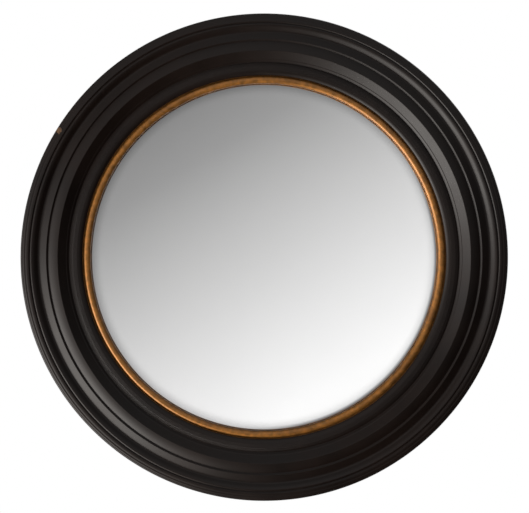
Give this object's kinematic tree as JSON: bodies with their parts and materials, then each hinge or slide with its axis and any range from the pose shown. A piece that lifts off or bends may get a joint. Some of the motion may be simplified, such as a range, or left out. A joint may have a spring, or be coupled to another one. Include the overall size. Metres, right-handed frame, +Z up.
{
  "type": "convex wall mirror",
  "caption": "Round convex mirror in a deep turned black frame with a gilt bead, hung on ring hangers.",
  "frame": {"origin": "the middle of the plane that the wall bumpers rest on, on the mirror's axis", "axes": "+Y from the front towards the wall, +Z up, +X to the viewer's right"},
  "size_m": [0.5999, 0.0416, 0.6],
  "materials": {
    "black_lacquer": "satin black lacquer over turned wood",
    "gilt": "antique gold leaf over turned wood",
    "clear_glass": "clear float glass",
    "silver": "silvered back",
    "felt": "soft felt",
    "fibre": "raw fibreboard",
    "board": "raw fibreboard",
    "zinc": "zinc plated",
    "zinc_wire": "bright plated wire",
    "brass_plate": "brass plated steel",
    "pad": "matt soft rubber"
  },
  "bodies": {
    "mirror": {"frame_ring": "black_lacquer", "gilt_slip": "gilt", "convex_glass": "clear_glass", "silvering": "silver", "cushion_strip": "felt", "rim_spacer": "fibre", "backing_board": "board", "turn_button_screws": "zinc", "hanger_screws": "zinc", "hanger_strap_left": "zinc", "hanger_strap_right": "zinc", "wall_bumper_upper_right": "pad", "wall_bumper_upper_left": "pad", "wall_bumper_lower_left": "pad", "wall_bumper_lower_right": "pad"},
    "hanger_ring_left": {"hanger_ring_left": "zinc_wire"},
    "hanger_ring_right": {"hanger_ring_right": "zinc_wire"},
    "turn_button_right": {"turn_button_right": "brass_plate"},
    "turn_button_upper_right": {"turn_button_upper_right": "brass_plate"},
    "turn_button_upper_left": {"turn_button_upper_left": "brass_plate"},
    "turn_button_left": {"turn_button_left": "brass_plate"},
    "turn_button_lower_left": {"turn_button_lower_left": "brass_plate"},
    "turn_button_lower_right": {"turn_button_lower_right": "brass_plate"}
  },
  "joints": [
    {"name": "hanger_ring_left_swing", "type": "hinge", "parent": "mirror", "child": "hanger_ring_left", "pos_m": [-0.21229, -0.0028, 0.15424], "axis": [1, 0, 0], "range_deg": [0, 180]},
    {"name": "hanger_ring_right_swing", "type": "hinge", "parent": "mirror", "child": "hanger_ring_right", "pos_m": [0.21229, -0.0028, 0.15424], "axis": [1, 0, 0], "range_deg": [0, 180]},
    {"name": "turn_button_right_turn", "type": "hinge", "parent": "mirror", "child": "turn_button_right", "pos_m": [0.24, -0.005, 0], "axis": [0, 1, 0], "continuous": true},
    {"name": "turn_button_upper_right_turn", "type": "hinge", "parent": "mirror", "child": "turn_button_upper_right", "pos_m": [0.12, -0.005, 0.20785], "axis": [0, 1, 0], "continuous": true},
    {"name": "turn_button_upper_left_turn", "type": "hinge", "parent": "mirror", "child": "turn_button_upper_left", "pos_m": [-0.12, -0.005, 0.20785], "axis": [0, 1, 0], "continuous": true},
    {"name": "turn_button_left_turn", "type": "hinge", "parent": "mirror", "child": "turn_button_left", "pos_m": [-0.24, -0.005, 0], "axis": [0, 1, 0], "continuous": true},
    {"name": "turn_button_lower_left_turn", "type": "hinge", "parent": "mirror", "child": "turn_button_lower_left", "pos_m": [-0.12, -0.005, -0.20785], "axis": [0, 1, 0], "continuous": true},
    {"name": "turn_button_lower_right_turn", "type": "hinge", "parent": "mirror", "child": "turn_button_lower_right", "pos_m": [0.12, -0.005, -0.20785], "axis": [0, 1, 0], "continuous": true}
  ]
}
